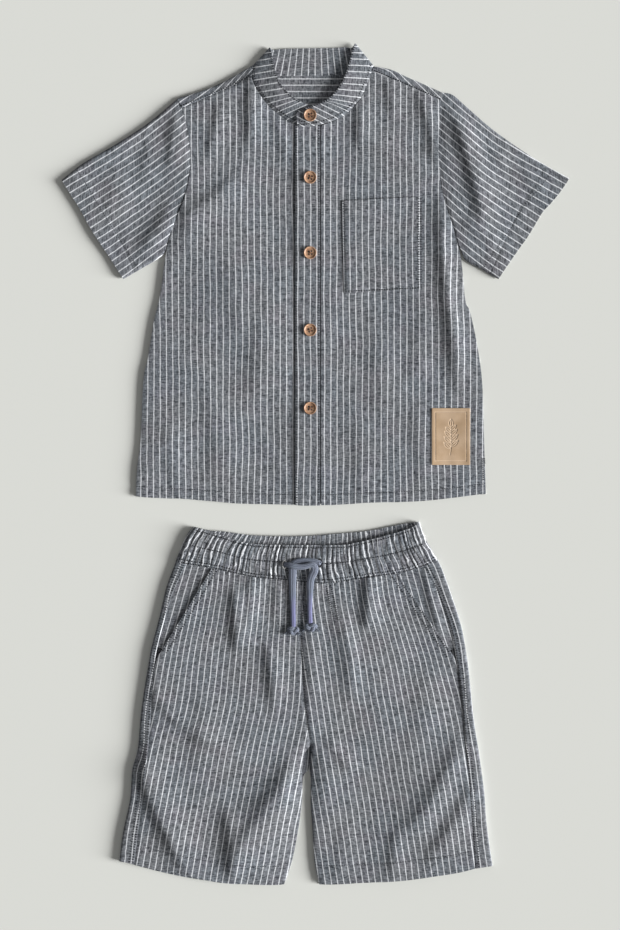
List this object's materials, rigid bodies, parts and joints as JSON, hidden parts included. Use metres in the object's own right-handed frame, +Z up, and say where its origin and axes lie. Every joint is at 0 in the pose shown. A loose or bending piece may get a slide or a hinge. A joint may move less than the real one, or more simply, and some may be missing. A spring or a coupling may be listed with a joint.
{
  "type": "shirt and shorts set",
  "caption": "Child's short-sleeved band collar shirt and drawstring shorts in a narrow stripe, laid flat and face up, one above the other.",
  "frame": {"origin": "middle of the set's outline, on the surface that it lies on", "axes": "+Y towards the shirt's collar, along the set's length; +X to the wearer's left, which is the right as seen from above; +Z up, out of the garments' fronts"},
  "size_m": [0.5465, 0.9049, 0.0164],
  "materials": {
    "striped_cloth": "matte slub chambray, grey-blue with a narrow off-white stripe every 6.8 mm",
    "button_wood": "satin",
    "patch_leather": "matte, debossed",
    "cord_cotton": "matte knitted cord, dusty blue"
  },
  "bodies": {
    "root": {"shirt_back": "striped_cloth", "shirt_yoke": "striped_cloth", "shirt_front_right": "striped_cloth", "shirt_front_left": "striped_cloth", "shirt_placket": "striped_cloth", "collar_band": "striped_cloth", "sleeve_right": "striped_cloth", "sleeve_left": "striped_cloth", "chest_pocket": "striped_cloth", "patch": "patch_leather", "button_1": "button_wood", "button_2": "button_wood", "button_3": "button_wood", "button_4": "button_wood", "button_5": "button_wood", "shorts_front_right": "striped_cloth", "shorts_front_left": "striped_cloth", "shorts_back_right": "striped_cloth", "shorts_back_left": "striped_cloth", "pocket_facing_right": "striped_cloth", "pocket_facing_left": "striped_cloth", "waistband_front": "striped_cloth", "waistband_back": "striped_cloth", "drawcord_right": "cord_cotton", "drawcord_left": "cord_cotton", "cord_knot_right": "cord_cotton", "cord_knot_left": "cord_cotton"}
  },
  "joints": []
}
